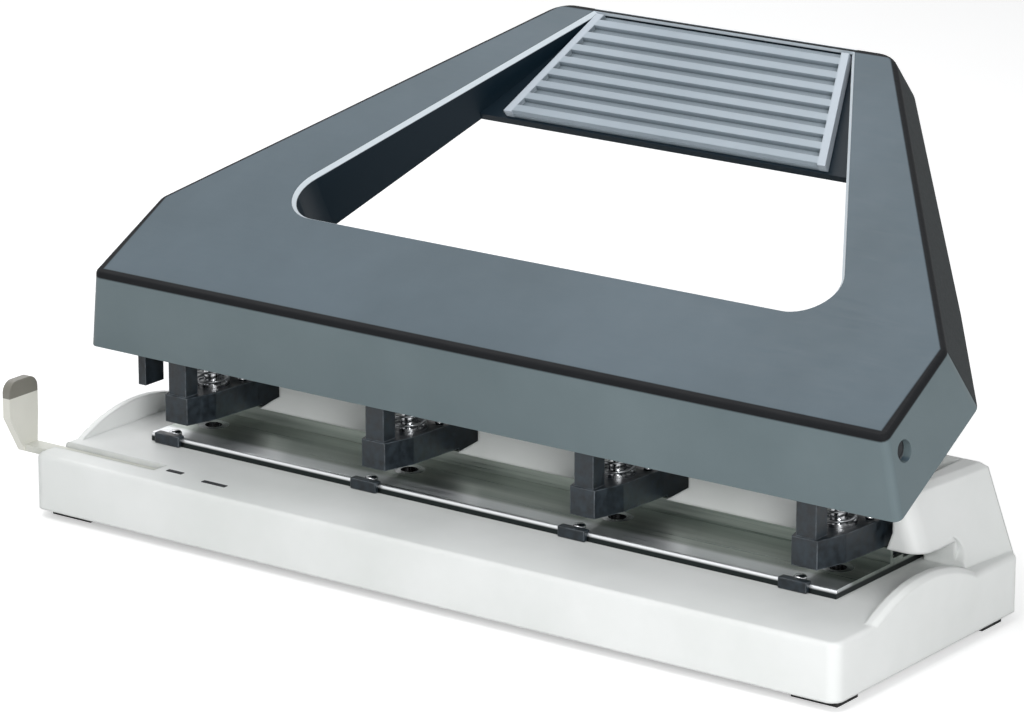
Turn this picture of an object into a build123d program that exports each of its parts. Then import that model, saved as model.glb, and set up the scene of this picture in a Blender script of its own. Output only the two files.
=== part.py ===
"""Four-hole desk punch: moulded base, steel punching gear and a large framed lever handle.

Frame: X along the row of holes, Y from the operator to the back, Z up, in millimetres.
X = 0 is the middle of the row, Y = 0 is the line of the pins and Z = 0 is the desk.
The handle is drawn level, about the pivot rod, and is then tilted to its raised rest.
"""
from build123d import *
import math
import os

os.makedirs("parts", exist_ok=True)

# ---------------------------------------------------------------- hole pattern and paper
hole_count = 4
hole_pitch = 80.0
hole_dia = 5.5
edge_margin = 12.0          # from the edge of the paper to the centres of the holes
paper_gap = 5.0             # height of the paper slot

# ---------------------------------------------------------------- clearances
run_gap = 0.06              # radial, a shaft turning or a pin sliding in its bore
seat_gap = 0.02             # radial, a pressed or screwed piece in its own hole
free_gap = 0.3              # between pieces that move past each other
touch = 0.5                 # depth by which a cutter passes a face

# ---------------------------------------------------------------- base housing
base_overhang = 32.7        # of each end beyond the outermost hole
base_depth = 102.5
base_bottom = 3.0
shelf_top = 21.2
shelf_skin = 2.5
housing_wall = 2.5
base_corner = 4.0
shelf_edge = 1.6
block_top = 47.5
block_front = 10.0
block_side_draft = 10.5     # how far each end leans in between the shelf and the top
block_front_step = 6.7      # of the block's front corners inside the ends of the base
block_rear_step = 2.3
block_corner = 6.0
block_edge = 1.6
trough_overhang = 12.6      # open middle of the block, beyond the outermost hole
slot_back = 28.0            # back of the paper slot at the open ends
scallop_middle = 20.5       # hollow in each end of the block, over the slot
scallop_half = 9.0
scallop_rise = 3.5
scallop_half_height = 6.0
scallop_depth = 7.0
rim_thickness = 3.7         # arched rim on each end of the shelf
rim_front = -34.0
rim_back = 30.0
rim_rise = 7.4
rim_edge = 1.4
notch_half = 10.5
notch_flare = 9.0
notch_height = 11.0
tail_length = 70.0
tail_root_half = 134.0
tail_half = 60.0
tail_top = 41.0             # where the tail's sloping top meets the block
tail_end_height = 11.0
tail_corner = 6.0

# ---------------------------------------------------------------- plates, tray and feet
plate_thickness = 2.8
plate_overhang = 11.0
plate_front = -18.0
plate_back = 36.0
plate_lip = 1.3
window_overhang = 7.0       # of the window under the dies, beyond the outermost hole
window_half = 7.0
bottom_thickness = 2.0
tray_overhang = 4.0
tray_front = -21.0
tray_back = 27.0
tray_wall = 1.6
tray_height = 12.0
tray_lip = 2.0              # bearing of the tray's snap rim on the bottom plate
foot_half = 8.0
foot_depth_half = 5.5
foot_inset = 11.0
pad_half = 22.0             # rubber pad under the middle of the tray
pad_depth_half = 9.0
stop_thickness = 1.2
stop_flange = 7.0

# ---------------------------------------------------------------- punch heads
arm_height = 9.0
arm_half = 9.0
arm_nose = -18.5
arm_nose_half = 4.5
arm_shoulder_half = 7.6
spine_front = 14.0
spine_back = 26.0
bracket_foot_half = 9.0
bracket_foot_back = 34.5
bracket_foot_height = 3.0
post_half = 3.5
post_depth = 6.0
boss_radius = 5.0
guide_radius = 5.6
guide_proud = 1.0
die_radius = 5.0
die_height = 5.0
cap_radius = 7.6            # over the corners of the eight-sided cap
cap_height = 2.5
tip_hollow = 0.8
wire_size = 1.1             # each way, of the square spring wire
coil_radius = 4.9
coil_turns = 2
arcs_per_turn = 2           # pairs of arcs that draw one turn
screw_head_radius = 3.6
screw_head_height = 2.6

# ---------------------------------------------------------------- pivot and cams
pivot_y = -14.75            # the rod lies this far in front of the pins
pivot_z = 69.8
rod_radius = 3.0
rod_edge = 0.6
rod_recess = 2.25           # of each end of the rod inside the handle's side
clip_radius = 4.6
clip_thickness = 0.9
clip_mouth_half = 2.0
press_angle = 26.0          # from the raised rest to fully pressed, degrees
rest_tilt = 28.4            # of the raised handle, degrees
cam_rise = 14.8             # from the raised cam's lowest point up to the rod
cheek_thickness = 2.5
cam_steps = 6
cam_margin = 6.5            # the cam runs on past both ends of its travel, degrees
hub_radius = 5.0
boss_sides = 8

# ---------------------------------------------------------------- handle
top_above_pivot = 9.1
front_setback = 4.5         # the top's front edge lies this far in front of the rod
handle_overhang = 29.85     # of each end beyond the outermost hole
handle_side_lean = 0.85
handle_side_length = 38.1
handle_length = 157.7
handle_rear_half = 64.2
rear_corner = 11.0
side_corner = 5.0
front_corner = 2.5
skirt_depth = 23.7
front_flare = 10.35
side_flare = 4.0
handle_wall = 2.4
handle_edge = 1.4
skirt_level = 75.0          # the skirt keeps its full depth this far back
rear_skirt = 14.5
opening_front = 42.0        # from the top's front edge
opening_side = 39.95        # between the opening's front corners and the handle's sides
opening_rear_half = 49.1
opening_corner = 12.0
opening_edge = 1.2
crossbar_front = 112.0
crossbar_back = 156.0
crossbar_depth = 14.0       # of its front face below the top
pad_sink = 8.7              # of the pad's front edge below the top
pad_thickness = 3.0
pad_front_half = 62.0
pad_rear_half = 48.8
pad_border = 3.0
rib_count = 8
rib_width = 3.9
rib_height = 1.5
rib_round = 0.7
lever_thickness = 2.0
lever_front = 8.0
lever_room = 6.6            # between the handle's wall and the lever frame's ears
ear_thickness = 3.0
lug_drop = 24.0
stop_front = 1.35           # strap that hangs from the left ear, behind the rod
stop_width = 9.0
stop_drop = 32.4

# ---------------------------------------------------------------- paper guide
rail_y = -38.5
rail_width = 6.0
rail_thickness = 2.2
rail_top = 19.4
rail_length = 150.0
rail_reach = 12.0           # of the paddle beyond the end of the base
groove_end = -110.0
paddle_width = 13.5
paddle_height = 24.5
paddle_thickness = 3.0
paddle_offset = -3.0
paddle_cap_height = 5.5
paddle_corner = 4.0

# ---------------------------------------------------------------- worked out from the above
hole_xs = [hole_pitch * (i - (hole_count - 1) / 2) for i in range(hole_count)]
outer_hole = hole_xs[-1]
base_half = outer_hole + base_overhang
base_length = 2 * base_half
depth_half = base_depth / 2
trough_half = outer_hole + trough_overhang
plate_half = outer_hole + plate_overhang
tray_half = outer_hole + tray_overhang
handle_half = outer_hole + handle_overhang
handle_side_half = handle_half - handle_side_lean
opening_half = handle_half - opening_side
lever_half = min(handle_half, handle_side_half) - handle_wall - lever_room
rod_half = handle_half - rod_recess
plate_top = shelf_top + plate_thickness
arm_bottom = plate_top + paper_gap
arm_top = arm_bottom + arm_height
pin_radius = hole_dia / 2
cam_base = -pivot_y         # radius of the circle that the cam's involute unrolls from
cap_top = pivot_z - cam_rise - free_gap
cap_bottom = cap_top - cap_height
guide_top = arm_top + guide_proud
tip_rest = arm_bottom + free_gap
top_front_y = -front_setback
pad_slope = math.atan2(pad_sink, crossbar_back - crossbar_front)
pad_drop = pad_thickness / math.cos(pad_slope)
foot_screw_y = bracket_foot_back - screw_head_radius - free_gap
pose = Pos(0, pivot_y, pivot_z) * Rot(rest_tilt, 0, 0)


# ---------------------------------------------------------------- helpers
def block(x0, x1, y0, y1, z0, z1):
    return Pos((x0 + x1) / 2, (y0 + y1) / 2, (z0 + z1) / 2) * Box(x1 - x0, y1 - y0, z1 - z0)


def drum(radius, z0, z1, x=0.0, y=0.0):
    return Pos(x, y, (z0 + z1) / 2) * Cylinder(radius, z1 - z0)


def rod_x(radius, x0, x1, y=0.0, z=0.0):
    return Pos((x0 + x1) / 2, y, z) * Rot(0, 90, 0) * Cylinder(radius, x1 - x0)


def boss_x(radius, x0, x1, y=0.0, z=0.0):
    """An eight-sided boss along X, round a bore of the rod."""
    face = Rot(0, 90, 0) * RegularPolygon(radius, boss_sides, major_radius=False)
    return Pos(x0, y, z) * extrude(face, amount=x1 - x0)


def slab(points, z0, z1):
    """An upright prism over a plan outline."""
    return Pos(0, 0, z0) * extrude(Polygon(*points, align=None), amount=z1 - z0)


def side_plate(points, x0, x1):
    """A plate square to X, from an outline in Y and Z."""
    face = Plane.YZ * Polygon(*points, align=None)
    return Pos((x0 + x1) / 2, 0, 0) * extrude(face, amount=(x1 - x0) / 2, both=True)


def mirrored(points):
    """Closes the outline of a piece that is the same on both sides of X = 0."""
    return points + [(-x, y) for x, y in reversed(points)]


def corners_at(shape, y, tolerance=0.01):
    return [v for v in shape.vertices() if abs(v.Y - y) < tolerance]


def corners_edges(shape, y, tolerance=0.01):
    """The upright edges at this y."""
    return [e for e in shape.edges().filter_by(Axis.Z) if abs(e.center().Y - y) < tolerance]


def write(name, shape):
    shape.label = name
    export_step(shape, "parts/" + name + ".step")


# ---------------------------------------------------------------- base housing
def block_outline(lean, inset=0.0):
    """Plan of the raised block, its ends this much nearer than at its foot, and its sides set in."""
    front_half = base_half - block_front_step - lean - inset
    rear_half = base_half - block_rear_step - lean - inset
    plan = mirrored([(front_half, block_front + inset), (rear_half, depth_half - inset)])
    face = Polygon(*plan, align=None)
    return fillet(corners_at(face, block_front + inset), block_corner)


def raised_block():
    """The block leans in at its ends, and its top edge is bevelled."""
    foot_z = shelf_top - shelf_edge
    shoulder_z = block_top - block_edge
    lean = block_side_draft * (shoulder_z - foot_z) / (block_top - foot_z)
    foot = Pos(0, 0, foot_z) * block_outline(0)
    shoulder = Pos(0, 0, shoulder_z) * block_outline(lean)
    head = Pos(0, 0, block_top) * block_outline(block_side_draft, block_edge)
    return loft([foot, shoulder, head], ruled=True)


def low_tail():
    """Tapered tail that keeps the punch from tipping when the handle is pressed."""
    root = depth_half - base_corner
    end = depth_half + tail_length
    plan = mirrored([(tail_root_half, root), (tail_root_half, depth_half), (tail_half, end)])
    body = slab(plan, base_bottom, tail_top)
    body = fillet(corners_edges(body, end), tail_corner)
    ramp = [
        (root, tail_top),
        (end + touch, base_bottom + tail_end_height),
        (end + touch, tail_top + touch),
        (root, tail_top + touch),
    ]
    return body - side_plate(ramp, -base_length, base_length)


def base_body():
    """The shelf slab, the raised block behind it and the tail."""
    plan = RectangleRounded(base_length, base_depth, base_corner)
    shelf = Pos(0, 0, base_bottom) * extrude(plan, amount=shelf_top - base_bottom)
    shelf = fillet(shelf.faces().sort_by(Axis.Z)[-1].edges(), shelf_edge)
    return shelf + raised_block() + low_tail()


def underside(inset, z0, z1):
    """A prism over the whole plan of the base, tail included, set in from its edge."""
    plan = Polygon(*mirrored([
        (base_half, -depth_half),
        (base_half, depth_half - base_corner),
        (tail_root_half, depth_half),
        (tail_half, depth_half + tail_length),
    ]), align=None)
    return Pos(0, 0, z0) * extrude(offset(plan, amount=-inset, kind=Kind.INTERSECTION), amount=z1 - z0)


def end_rim(side):
    """Arched rim on one end of the shelf, just outside the longest paper."""
    low = shelf_top - shelf_edge
    middle = (rim_front + rim_back) / 2
    arch = ThreePointArc((rim_front, low), (middle, shelf_top + rim_rise), (rim_back, low))
    face = Plane.YZ * make_face([arch.edge(), Line((rim_back, low), (rim_front, low)).edge()])
    body = extrude(face, amount=rim_thickness)
    body = chamfer(body.edges().filter_by(GeomType.CIRCLE).sort_by(Axis.X)[-1], rim_edge)
    body = Pos(base_half - rim_thickness, 0, 0) * body
    return body if side > 0 else mirror(body, about=Plane.YZ)


def wall_notch(x):
    """Opening in the block's front wall for one bracket, flared above the arm."""
    low_left = max(x - notch_half, -trough_half)
    low_right = min(x + notch_half, trough_half)
    left = max(x - notch_half - notch_flare, -trough_half)
    right = min(x + notch_half + notch_flare, trough_half)
    middle = arm_bottom + notch_height / 2
    top = arm_bottom + notch_height
    notch = [
        (low_left, arm_bottom - touch),
        (low_right, arm_bottom - touch),
        (right, middle),
        (right, top),
        (left, top),
        (left, middle),
    ]
    back = block_front + housing_wall + touch
    face = Plane.XZ * Polygon(*notch, align=None)
    return Pos(0, back, 0) * extrude(face, amount=housing_wall + 2 * touch)


def end_scallop(side):
    """Rounded hollow in one end of the block, where the paper slot comes out."""
    reach = base_half - block_rear_step
    near = side * (reach - scallop_depth)
    far = side * (base_half + touch)
    oval = Plane.YZ * Ellipse(scallop_half, scallop_half_height)
    half = abs(far - near) / 2
    middle_z = arm_bottom + scallop_rise - scallop_half_height
    return Pos((near + far) / 2, scallop_middle, middle_z) * extrude(oval, amount=half, both=True)


def hollow_underside():
    """Room under the shelf and the tail, round the boss that holds the guide's tunnel."""
    ceiling = shelf_top - shelf_skin
    low_back = depth_half - base_corner
    tail_ceiling = base_bottom + tail_end_height - housing_wall
    hollow = underside(housing_wall, base_bottom - touch, ceiling)
    hollow -= block(-base_half, base_half, low_back, base_length, tail_ceiling, block_top)
    boss_wall = rail_width / 2 + housing_wall
    boss_end = rail_length - base_half + housing_wall
    boss_low = base_bottom + bottom_thickness * 2
    return hollow - block(-base_half, boss_end, rail_y - boss_wall, rail_y + boss_wall, boss_low, ceiling)


def base_housing():
    body = base_body()
    # Paper slot under the block, open at both ends.
    body -= block(-base_length, base_length, block_front - touch, slot_back, shelf_top, arm_bottom)
    # Open trough in the block, where the brackets stand.
    back = depth_half - housing_wall
    body -= block(-trough_half, trough_half, block_front + housing_wall, back, shelf_top, block_top + touch)
    for x in hole_xs:
        body -= wall_notch(x)
    for side in (-1, 1):
        body -= end_scallop(side)
        body += end_rim(side)
    body -= hollow_underside()
    # Tunnel and open groove for the paper guide.
    near = rail_y - rail_width / 2 - free_gap
    far = rail_y + rail_width / 2 + free_gap
    left = -base_half - touch
    tunnel_bottom = rail_top - rail_thickness - free_gap
    tunnel_end = rail_length - base_half - rail_reach + 2 * free_gap
    body -= block(left, tunnel_end, near, far, tunnel_bottom, rail_top + free_gap)
    body -= block(left, groove_end, near, far, tunnel_bottom, shelf_top + touch)
    # Window under the dies, through which the chips fall.
    half = outer_hole + window_overhang
    body -= block(-half, half, -window_half, window_half, shelf_top - shelf_skin - touch, shelf_top + touch)
    return body


# ---------------------------------------------------------------- plates, tray and feet
def die_plate():
    body = block(-plate_half, plate_half, plate_front, plate_back, shelf_top, plate_top)
    front_edges = body.edges().filter_by(Axis.X).group_by(Axis.Y)[0].sort_by(Axis.Z)
    body = fillet(front_edges[-1], plate_lip)
    for x in hole_xs:
        body -= drum(die_radius + seat_gap, shelf_top - touch, plate_top + touch, x)
    return body


def die_bush(x):
    ring = drum(die_radius, plate_top - die_height, plate_top, x)
    return ring - drum(pin_radius + run_gap, plate_top - die_height - touch, plate_top + touch, x)


def bottom_plate():
    body = underside(housing_wall + free_gap, base_bottom, base_bottom + bottom_thickness)
    clear = tray_wall + free_gap
    body -= block(-tray_half - clear, tray_half + clear, tray_front - clear, tray_back + clear, 0, shelf_top)
    return body


def chip_tray():
    """Pan under the dies, let into the bottom plate and held by the snap rim round it."""
    low = base_bottom
    body = block(-tray_half, tray_half, tray_front, tray_back, low, low + tray_height)
    out = tray_wall + free_gap + tray_lip
    rim_low = low + bottom_thickness
    rim = (-tray_half - out, tray_half + out, tray_front - out, tray_back + out)
    body += block(*rim, rim_low, rim_low + tray_wall)
    inner = block(
        -tray_half + tray_wall, tray_half - tray_wall, tray_front + tray_wall, tray_back - tray_wall,
        low + tray_wall, low + tray_height + touch,
    )
    return body - inner


def rubber_foot(x, y):
    return block(x - foot_half, x + foot_half, y - foot_depth_half, y + foot_depth_half, 0, base_bottom)


def rubber_feet():
    """Six feet: under the corners of the base and of the tail."""
    x = base_half - foot_inset
    y = depth_half - foot_inset
    tail_x = tail_half - foot_inset - housing_wall
    tail_y = depth_half + tail_length - foot_inset - housing_wall
    feet = []
    for side in (-1, 1):
        feet.append(rubber_foot(side * x, -y))
        feet.append(rubber_foot(side * x, y))
        feet.append(rubber_foot(side * tail_x, tail_y))
    return Compound(feet)


def tray_pad():
    """Pad under the middle of the tray, level with the feet. The origin is in its underside."""
    return block(-pad_half, pad_half, -pad_depth_half, pad_depth_half, 0, base_bottom)


def paper_stop():
    """Folded steel angle that the paper's edge comes up against."""
    top = arm_bottom - free_gap
    back = edge_margin + stop_flange
    gap = bracket_foot_half + free_gap
    behind_leg = edge_margin + stop_thickness + free_gap
    leg = block(-plate_half, plate_half, edge_margin, edge_margin + stop_thickness, plate_top, top)
    foot = block(-plate_half, plate_half, edge_margin, back, plate_top, plate_top + stop_thickness)
    for x in hole_xs:
        foot -= block(x - gap, x + gap, behind_leg, back + touch, plate_top - touch, top)
    return leg + foot


# ---------------------------------------------------------------- punch heads
def head_bracket(x):
    """Cast C-frame: screwed foot, spine, arm over the slot, and the post that holds the rod."""
    arm_plan = mirrored([
        (arm_nose_half, arm_nose),
        (arm_shoulder_half, -arm_shoulder_half),
        (arm_half, edge_margin),
        (arm_half, spine_back),
    ])
    body = slab(arm_plan, arm_bottom, arm_top)
    body += block(-arm_half, arm_half, spine_front, spine_back, plate_top, arm_top)
    foot_top = plate_top + bracket_foot_height
    foot_half = bracket_foot_half
    body += block(-foot_half, foot_half, spine_front, bracket_foot_back, plate_top, foot_top)
    front = pivot_y - post_depth / 2
    back = pivot_y + post_depth / 2
    body += block(-post_half, post_half, front, back, arm_top - touch, pivot_z)
    body += boss_x(boss_radius, -post_half, post_half, pivot_y, pivot_z)
    body -= rod_x(rod_radius + seat_gap, -post_half - touch, post_half + touch, pivot_y, pivot_z)
    body -= drum(guide_radius + seat_gap, arm_bottom - touch, arm_top + touch)
    return Pos(x, 0, 0) * body


def punch_guide(x):
    ring = drum(guide_radius, arm_bottom, guide_top, x)
    return ring - drum(pin_radius + run_gap, arm_bottom - touch, guide_top + touch, x)


def punch_pin(x):
    """Pin with a hollow-ground tip and the wide cap that the cam presses."""
    body = drum(pin_radius, tip_rest, cap_bottom)
    body += Pos(0, 0, cap_bottom) * extrude(RegularPolygon(cap_radius, boss_sides), amount=cap_height)
    hollow_radius = (pin_radius ** 2 + tip_hollow ** 2) / (2 * tip_hollow)
    hollow_z = tip_rest + tip_hollow - hollow_radius
    body -= rod_x(hollow_radius, -pin_radius - touch, pin_radius + touch, 0, hollow_z)
    return Pos(x, 0, 0) * body


def bracket_screw(x):
    """Hexagon head of the screw that holds a bracket's foot. Its shank is closed in by the foot."""
    head = extrude(RegularPolygon(screw_head_radius, 6), amount=screw_head_height)
    return Pos(x, foot_screw_y, plate_top + bracket_foot_height) * head


# ---------------------------------------------------------------- springs
def meeting_point(p0, t0, p1, t1):
    """Where two arcs meet, the first leaving p0 along t0 and the second reaching p1 along t1."""
    chord = p1 - p0
    a = 2 * (1 - t0.dot(t1))
    b = 2 * chord.dot(t0 + t1)
    reach = (-b + math.sqrt(b * b + 4 * a * chord.dot(chord))) / (2 * a)
    return (p0 + p1 + (t0 - t1) * reach) / 2


def coil_spring(x):
    """Square wire wound as a helix between the guide and the pin's cap, drawn as pairs of arcs."""
    low = guide_top + wire_size / 2 + free_gap / 2
    high = cap_bottom - wire_size / 2 - free_gap / 2
    steps = coil_turns * arcs_per_turn
    climb = (high - low) / steps
    angle = 2 * math.pi / arcs_per_turn
    slope = climb / (coil_radius * angle)
    points = []
    tangents = []
    for i in range(steps + 1):
        turn = i * angle
        across = math.cos(turn)
        along = math.sin(turn)
        points.append(Vector(coil_radius * across, coil_radius * along, low + i * climb))
        tangents.append(Vector(-along, across, slope).normalized())
    edges = []
    for i in range(steps):
        middle = meeting_point(points[i], tangents[i], points[i + 1], tangents[i + 1])
        first = Edge.make_tangent_arc(points[i], tangents[i], middle)
        edges.append(first)
        edges.append(Edge.make_tangent_arc(middle, first % 1, points[i + 1]))
    start = Plane(origin=points[0], x_dir=Vector(1, 0, 0), z_dir=tangents[0])
    section = start * Rectangle(wire_size, wire_size)
    gap = climb * arcs_per_turn - wire_size
    print("spring: least gap between turns", round(gap, 2), "mm")
    return Pos(x, 0, 0) * sweep(section, path=Wire(edges))


# ---------------------------------------------------------------- pivot rod
def pivot_rod():
    body = rod_x(rod_radius, -rod_half, rod_half, pivot_y, pivot_z)
    ends = body.faces().sort_by(Axis.X)
    return chamfer(ends[0].edges() + ends[-1].edges(), rod_edge)


def rod_clips():
    """Open spring clips that keep the rod from walking sideways."""
    clips = []
    for side in (-1, 1):
        near = side * (lever_half + 3 * free_gap)
        far = near + side * clip_thickness
        clip = rod_x(clip_radius, min(near, far), max(near, far), pivot_y, pivot_z)
        clip -= rod_x(rod_radius + seat_gap, -base_length, base_length, pivot_y, pivot_z)
        mouth = (pivot_y - clip_mouth_half, pivot_y + clip_mouth_half)
        clip -= block(-base_length, base_length, *mouth, pivot_z - 2 * clip_radius, pivot_z)
        clips.append(clip)
    return Compound(clips)


# ---------------------------------------------------------------- handle, drawn level about the rod
def handle_outline(front_y):
    side_y = top_front_y + handle_side_length
    rear_y = top_front_y + handle_length
    half = handle_half
    return mirrored([(half, front_y), (handle_side_half, side_y), (handle_rear_half, rear_y)])


def handle_face(front_y, grow, z):
    """One level section of the handle, grown outwards by the flare."""
    face = Polygon(*handle_outline(front_y), align=None)
    if grow > seat_gap:
        face = offset(face, amount=grow, kind=Kind.INTERSECTION)
    ys = sorted(v.Y for v in face.vertices())
    face = fillet(corners_at(face, ys[-1]), rear_corner + grow)
    ys = sorted(set(round(v.Y, 3) for v in face.vertices()))
    face = fillet(corners_at(face, ys[0]), front_corner)
    sides = [v for v in face.vertices() if abs(v.Y - side_break(grow)) < side_corner]
    face = fillet(sides, side_corner)
    return Pos(0, 0, z) * face


def room_face(front_y, grow, z):
    """One level section of the room inside the handle, a wall in from its outside."""
    face = Polygon(*handle_outline(front_y), align=None)
    face = offset(face, amount=grow - handle_wall, kind=Kind.INTERSECTION)
    ys = sorted(v.Y for v in face.vertices())
    face = fillet(corners_at(face, ys[-1]), rear_corner + grow - handle_wall)
    return Pos(0, 0, z) * face


def side_break(grow):
    """Where the side of an offset outline turns into the long slanted side."""
    turn = math.atan2(handle_side_half - handle_rear_half, handle_length - handle_side_length)
    return top_front_y + handle_side_length + grow * math.tan(turn / 2)


def opening_at(distance):
    """Half-width of the opening at this distance behind the top's front edge."""
    share = (distance - opening_front) / (crossbar_back - opening_front)
    return opening_half + (opening_rear_half - opening_half) * share


def opening_plan(start, end, grow=0.0):
    points = [
        (opening_at(start) + grow, top_front_y + start - grow),
        (opening_at(end) + grow, top_front_y + end),
    ]
    return Polygon(*mirrored(points), align=None)


def below_line(start, start_depth, end, end_depth, back):
    """All that lies below a line sloping up towards the rear, given as distances and depths."""
    rise = (start_depth - end_depth) / (end - start)
    low = top_above_pivot - 2 * skirt_depth
    outline = [
        (top_front_y + start, top_above_pivot - start_depth),
        (top_front_y + back, top_above_pivot - start_depth + rise * (back - start)),
        (top_front_y + back, low),
        (top_front_y + start, low),
    ]
    return side_plate(outline, -base_length, base_length)


def hollow_handle():
    """The outer form with its skirts, less the room inside, before the opening is cut."""
    top = top_above_pivot
    bottom = top - skirt_depth
    low_front = top_front_y - (front_flare - side_flare)
    outer = loft([handle_face(top_front_y, 0, top), handle_face(low_front, side_flare, bottom)], ruled=True)
    outer = fillet(outer.faces().sort_by(Axis.Z)[-1].edges(), handle_edge)
    deep = touch / skirt_depth
    room_front = top_front_y - handle_wall * front_flare / skirt_depth
    room_top = room_face(room_front, 0, top - handle_wall)
    room_low = room_face(low_front - front_flare * deep, side_flare * (1 + deep), bottom - touch)
    room = loft([room_top, room_low], ruled=True)
    walls = opening_plan(opening_front, crossbar_back, handle_wall)
    room -= Pos(0, 0, bottom - 2 * touch) * extrude(walls, amount=skirt_depth + 4 * touch)
    return outer - room


def crossbar():
    """The bar across the back of the opening, with the slope that carries the grip pad on top."""
    top = top_above_pivot
    front = top_front_y + crossbar_front
    back = top_front_y + crossbar_back + touch
    rise = (skirt_depth - crossbar_depth) / (crossbar_front - opening_front)
    profile = [
        (front, top - pad_sink - pad_drop),
        (back, top - pad_drop),
        (back, top - crossbar_depth + rise * (back - front)),
        (front, top - crossbar_depth),
    ]
    plan = mirrored([(opening_at(crossbar_front) + touch, front), (opening_at(crossbar_back) + touch, back)])
    return side_plate(profile, -handle_half, handle_half) & slab(plan, top - skirt_depth, top)


def opening_flare(plan):
    """Bevel round the top of the hand opening, except along its short back edge."""
    wide = offset(plan, amount=opening_edge + touch, kind=Kind.INTERSECTION)
    low = Pos(0, 0, top_above_pivot - opening_edge) * plan
    flare = loft([low, Pos(0, 0, top_above_pivot + touch) * wide], ruled=True)
    back = top_front_y + crossbar_back
    return flare - block(-handle_half, handle_half, back, back + handle_length, 0, 2 * skirt_depth)


def handle_shell():
    body = hollow_handle()
    bottom = top_above_pivot - skirt_depth
    hole = opening_plan(opening_front, crossbar_back)
    hole = fillet(corners_at(hole, top_front_y + opening_front), opening_corner)
    body -= Pos(0, 0, bottom - touch) * extrude(hole, amount=skirt_depth + 2 * touch)
    body -= opening_flare(hole)
    # The skirts and the opening's walls both get shallower towards the rear.
    body -= below_line(skirt_level, skirt_depth, handle_length, rear_skirt, handle_length + front_flare)
    inner = opening_plan(opening_front, crossbar_back, handle_wall + touch)
    inner = Pos(0, 0, bottom - touch) * extrude(inner, amount=skirt_depth)
    body -= below_line(opening_front, skirt_depth, crossbar_front, crossbar_depth, crossbar_back) & inner
    body += crossbar()
    body -= rod_x(rod_radius + free_gap + run_gap, -base_length, base_length)
    return pose * body


def grip_rib(y, room):
    """One rib across the pad, narrower at its top."""
    half = rib_width / 2
    root = -rib_height - touch
    outline = [(y - half, root), (y - half + rib_round, 0), (y + half - rib_round, 0), (y + half, root)]
    rib = Polygon(*outline, align=None)
    return extrude(Plane.YZ * rib, amount=handle_half, both=True) & room


def grip_pad():
    """Ribbed plate that the palm presses, let into the slope of the crossbar."""
    run = crossbar_back - crossbar_front - 2 * free_gap - pad_thickness * math.sin(pad_slope)
    length = run / math.cos(pad_slope)
    body = slab(mirrored([(pad_front_half, 0), (pad_rear_half, length)]), -pad_thickness, -rib_height)
    rear_half = pad_rear_half - pad_border
    room = slab(mirrored([(pad_front_half - pad_border, 0), (rear_half, length)]), -pad_thickness, touch)
    front_half = pad_front_half - pad_border
    border = [(pad_front_half, 0), (pad_rear_half, length), (rear_half, length), (front_half, 0)]
    edge = slab(border, -pad_thickness, 0)
    body += edge
    body += mirror(edge, about=Plane.YZ)
    pitch = length / rib_count
    for i in range(rib_count):
        body += grip_rib(pitch * i + rib_width / 2, room)
    start_y = top_front_y + crossbar_front + free_gap
    start_z = top_above_pivot - pad_sink + free_gap * math.tan(pad_slope)
    return pose * Pos(0, start_y, start_z) * Rot(math.degrees(pad_slope), 0, 0) * body


def involute(angle):
    """Point of the cam, about the rod with the handle raised, that touches at this press angle."""
    reach = cam_rise + cam_base * angle
    y = cam_base * math.cos(angle) + reach * math.sin(angle)
    z = cam_base * math.sin(angle) - reach * math.cos(angle)
    return Vector(y, z)


def press_yoke(x):
    """Two cam cheeks that straddle the post, joined by a web under the lever frame."""
    level = Rot(0, 0, -rest_tilt)
    margin = math.radians(cam_margin)
    step = (math.radians(press_angle) + 2 * margin) / cam_steps
    angles = [-margin + i * step for i in range(cam_steps + 1)]
    nose = [level * Vertex(*involute(a)) for a in angles]
    nose = [(v.X, v.Y) for v in nose]
    seat_z = top_above_pivot - handle_wall - lever_thickness
    back_y = nose[-1][0] + lever_front
    curve = Spline(*nose)
    outline = Polyline(nose[-1], (back_y, seat_z), (lever_front, seat_z), (-hub_radius / 2, 0), nose[0])
    cheek_face = Plane.YZ * make_face([curve.edge()] + outline.edges())
    inner = post_half + 2 * free_gap
    cheek = extrude(cheek_face, amount=cheek_thickness)
    cheek += boss_x(hub_radius, 0, cheek_thickness)
    cheek -= rod_x(rod_radius + run_gap, -touch, cheek_thickness + touch)
    body = Pos(inner, 0, 0) * cheek
    body += Pos(-inner - cheek_thickness, 0, 0) * cheek
    body += block(-inner, inner, lever_front + lever_thickness * 2, back_y - lever_thickness, 0, seat_z)
    return pose * Pos(x, 0, 0) * body


def lever_frame():
    """Pressed steel channel under the handle's front bar, with an ear at each end on the rod."""
    top = top_above_pivot - handle_wall
    back = top_front_y + opening_front - handle_wall - free_gap
    body = block(-lever_half, lever_half, lever_front, back, top - lever_thickness, top)
    ear = [
        (lever_front, top),
        (back, top),
        (lever_front + lever_thickness, -lug_drop),
        (0, -lug_drop),
        (-hub_radius / 2, 0),
    ]
    for side in (-1, 1):
        outer_x = side * lever_half
        inner_x = side * (lever_half - ear_thickness)
        plate = side_plate(ear, min(outer_x, inner_x), max(outer_x, inner_x))
        plate += boss_x(hub_radius, min(outer_x, inner_x), max(outer_x, inner_x))
        body += plate
    strap = [
        (stop_front, 0),
        (stop_front + stop_width, 0),
        (stop_front + stop_width, -stop_drop),
        (stop_front, -stop_drop),
    ]
    body += Rot(-rest_tilt, 0, 0) * side_plate(strap, -lever_half, ear_thickness - lever_half)
    body -= rod_x(rod_radius + run_gap, -base_length, base_length)
    return pose * body


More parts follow.
